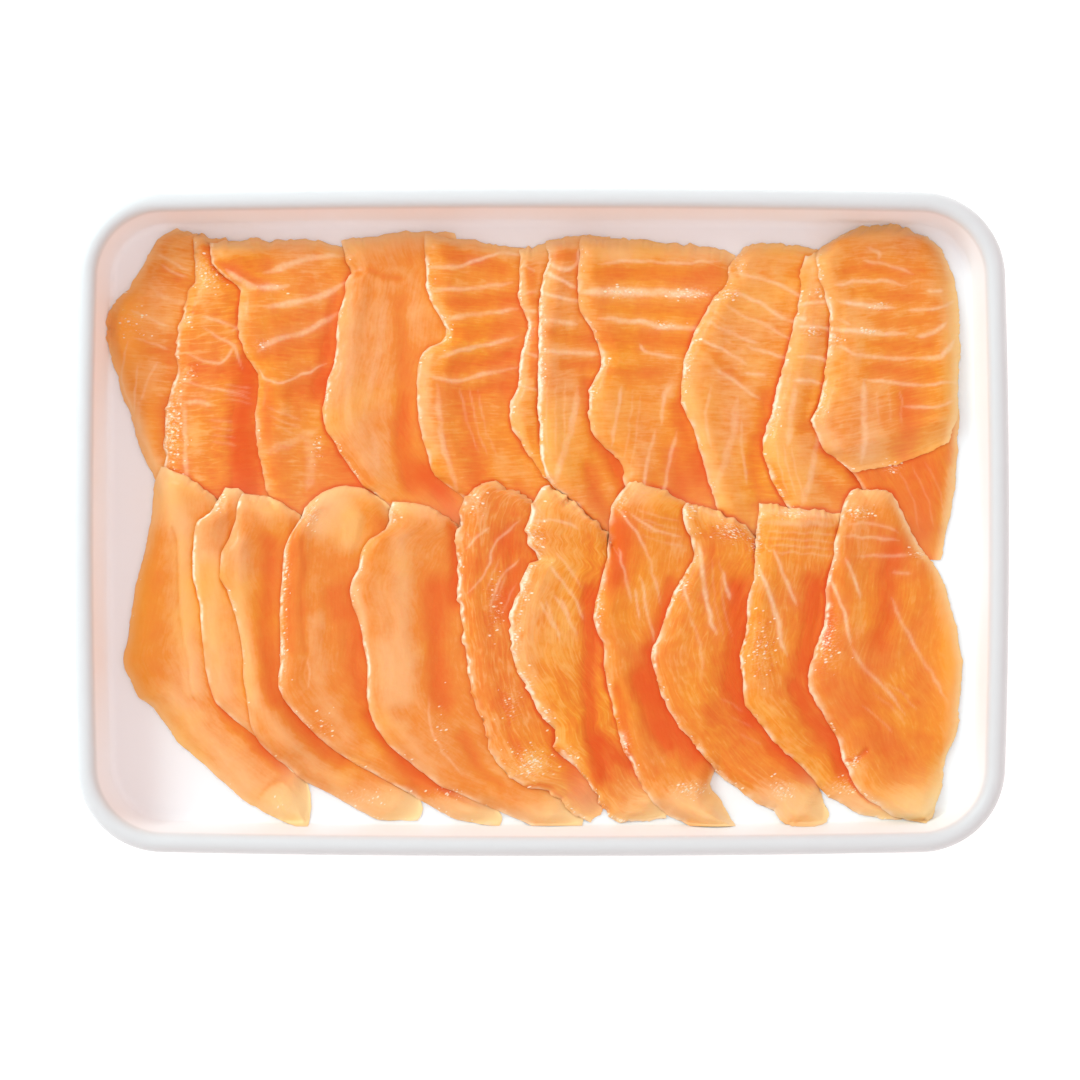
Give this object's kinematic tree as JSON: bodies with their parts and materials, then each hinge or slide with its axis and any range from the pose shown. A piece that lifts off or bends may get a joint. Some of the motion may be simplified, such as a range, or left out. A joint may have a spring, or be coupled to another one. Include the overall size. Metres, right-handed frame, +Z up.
{
  "type": "raw salmon slices on a foam tray",
  "caption": "Shallow rectangular foam tray holding thin raw salmon slices, shingled in two overlapping rows.",
  "frame": {"origin": "on the floor under the middle of the tray", "axes": "+X along the tray's long side, +Y across it towards the far row of slices, +Z up out of the tray"},
  "size_m": [0.24, 0.1714, 0.0224],
  "materials": {
    "foam": "white expanded foam, satin skin",
    "salmon": "moist raw salmon flesh, orange with pale fat lines"
  },
  "bodies": {
    "root": {"tray": "foam", "upper_slice_01": "salmon", "upper_slice_02": "salmon", "upper_slice_03": "salmon", "upper_slice_04": "salmon", "upper_slice_05": "salmon", "upper_slice_06": "salmon", "upper_slice_07": "salmon", "upper_slice_08": "salmon", "upper_slice_09": "salmon", "upper_slice_10": "salmon", "upper_slice_11": "salmon", "upper_slice_12": "salmon", "lower_slice_01": "salmon", "lower_slice_02": "salmon", "lower_slice_03": "salmon", "lower_slice_04": "salmon", "lower_slice_05": "salmon", "lower_slice_06": "salmon", "lower_slice_07": "salmon", "lower_slice_08": "salmon", "lower_slice_09": "salmon", "lower_slice_10": "salmon", "lower_slice_11": "salmon"}
  },
  "joints": []
}
